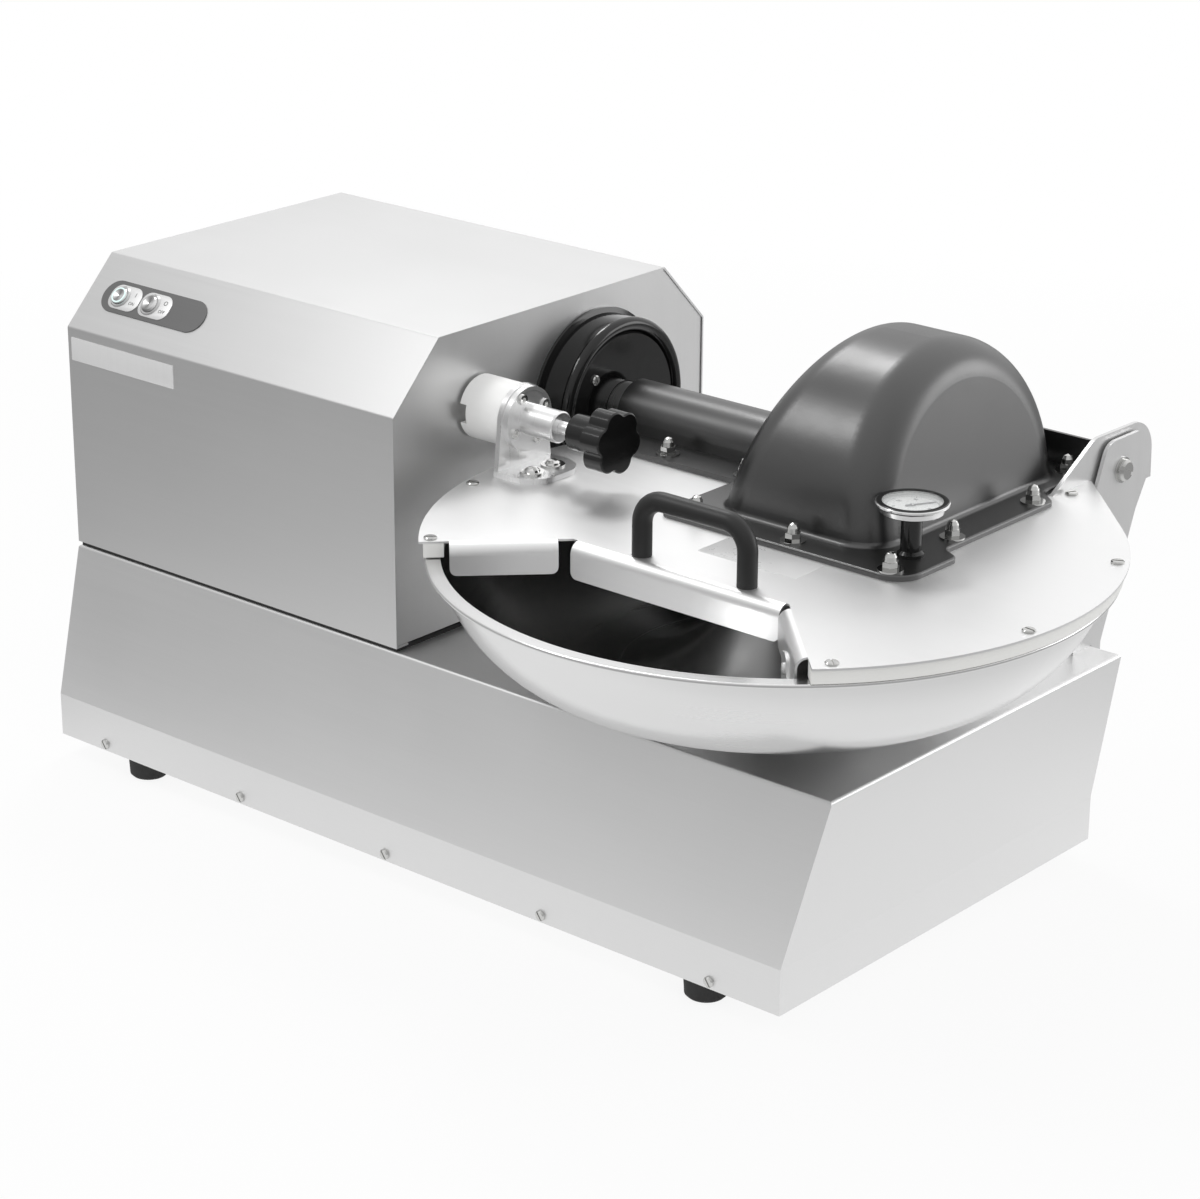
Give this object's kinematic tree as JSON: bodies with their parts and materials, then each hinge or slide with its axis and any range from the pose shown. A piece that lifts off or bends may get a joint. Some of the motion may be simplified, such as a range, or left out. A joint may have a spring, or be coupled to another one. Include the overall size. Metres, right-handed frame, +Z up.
{
  "type": "meat bowl cutter",
  "caption": "Table-top meat bowl cutter: steel plinth with motor housing, turning bowl, knife shaft and hinged lid with a black knife cover, latch and thermometer.",
  "frame": {"origin": "middle of the box that holds the machine, on the surface that it stands on", "axes": "+X along the machine from the motor housing to the bowl, +Y to the back where the lid is hinged, +Z up"},
  "size_m": [0.843, 0.5564, 0.4155],
  "materials": {
    "stainless": "brushed stainless sheet",
    "stainless_bowl": "spun stainless, fine circular brushing",
    "machined_steel": "turned and ground steel",
    "fasteners": "bright plated fasteners",
    "blade_steel": "ground knife steel",
    "cast_paint": "painted casting",
    "motor_paint": "grey enamel",
    "black_moulding": "satin black moulded plastic",
    "black_knob": "black phenolic",
    "nylon": "white nylon",
    "foot_rubber": "black rubber",
    "belt_rubber": "fabric-backed rubber",
    "seal": "black seal strip",
    "panel_grey": "dark grey control plate",
    "button_metal": "turned, dished face",
    "aluminium_turned": "turned and polished",
    "dial_white": "white dial face",
    "dial_glass": "flat clear glass",
    "needle_black": "black needle",
    "bearing_steel": "ground bearing steel"
  },
  "bodies": {
    "base": {"plinth_shell": "stainless", "bottom_tray": "stainless", "rubber_feet": "foot_rubber", "case_screws": "fasteners", "housing_shell": "stainless", "housing_end_panel": "stainless", "housing_vent_panel": "stainless", "housing_gasket": "seal", "latch_keeper": "machined_steel", "control_panel": "panel_grey", "button_bezels": "button_metal", "cable_gland": "black_moulding", "motor_body": "motor_paint", "motor_mount": "cast_paint", "bearing_housing": "cast_paint", "knife_bearings": "bearing_steel", "bearing_cap": "black_moulding", "knife_belt": "belt_rubber", "bowl_belt": "belt_rubber", "pillow_block": "cast_paint", "gear_case": "cast_paint", "gear_cover": "cast_paint", "bowl_bearing": "machined_steel", "hinge_posts": "stainless", "hinge_pins": "fasteners"},
    "lid": {"lid_plate": "stainless", "lid_ring": "nylon", "lid_screws": "fasteners", "hinge_arms": "stainless", "handle": "black_moulding", "knife_cover": "black_moulding", "cover_nuts": "fasteners", "rear_guard": "black_moulding", "thermometer_stem": "black_moulding", "thermometer_case": "machined_steel", "thermometer_dial": "dial_white", "thermometer_glass": "dial_glass", "scraper_bracket": "stainless", "scraper_blade": "black_moulding", "latch_bracket": "stainless", "latch_sleeve": "nylon", "latch_flange": "aluminium_turned", "latch_screws": "fasteners"},
    "latch": {"latch_plunger": "machined_steel", "star_knob": "black_knob"},
    "needle": {"thermometer_needle": "needle_black"},
    "rotor": {"motor_rotor": "machined_steel"},
    "knives": {"knife_shaft": "machined_steel", "knife_blades": "blade_steel", "knife_spacers": "machined_steel", "knife_nut": "machined_steel", "knife_pulley": "machined_steel"},
    "worm": {"worm_shaft": "machined_steel", "worm_pulley": "machined_steel"},
    "bowl_unit": {"bowl": "stainless_bowl", "bowl_spindle": "machined_steel", "worm_wheel": "machined_steel"},
    "start": {"start_button": "button_metal"},
    "stop": {"stop_button": "button_metal"}
  },
  "joints": [
    {"name": "lid_hinge", "type": "hinge", "parent": "base", "child": "lid", "pos_m": [0.1825, 0.2302, 0.2962], "axis": [-1, 0, 0], "range_deg": [0, 95]},
    {"name": "latch_slide", "type": "slide", "parent": "lid", "child": "latch", "axis": [1, 0, 0], "range_m": [-0.012, 0]},
    {"name": "needle_turn", "type": "hinge", "parent": "lid", "child": "needle", "pos_m": [0.2805, -0.021, 0.3345], "axis": [0, 0, -1], "range_deg": [-60, 200], "stiffness_Nm_per_rad": 0.001},
    {"name": "motor_spin", "type": "hinge", "parent": "base", "child": "rotor", "pos_m": [-0.3615, -0.0446, 0.241], "axis": [1, 0, 0], "continuous": true},
    {"name": "knife_spin", "type": "hinge", "parent": "base", "child": "knives", "pos_m": [0.1825, 0.0769, 0.308], "axis": [1, 0, 0], "continuous": true},
    {"name": "worm_spin", "type": "hinge", "parent": "base", "child": "worm", "pos_m": [0.1825, 0.0068, 0.094], "axis": [1, 0, 0], "continuous": true},
    {"name": "bowl_spin", "type": "hinge", "parent": "base", "child": "bowl_unit", "pos_m": [0.1825, -0.0432, 0.2832], "axis": [0, 0, 1], "continuous": true},
    {"name": "start_press", "type": "slide", "parent": "base", "child": "start", "axis": [0, 0.7159, -0.6982], "range_m": [0, 0.002], "stiffness_N_per_m": 500, "springref_m": -0.001},
    {"name": "stop_press", "type": "slide", "parent": "base", "child": "stop", "axis": [0, 0.7159, -0.6982], "range_m": [0, 0.002], "stiffness_N_per_m": 500, "springref_m": -0.001}
  ],
  "couplings": [
    {"joint": "knife_spin", "follows": "motor_spin", "ratio": 1.5},
    {"joint": "worm_spin", "follows": "motor_spin", "ratio": 0.66667},
    {"joint": "bowl_spin", "follows": "motor_spin", "ratio": 0.022222}
  ]
}
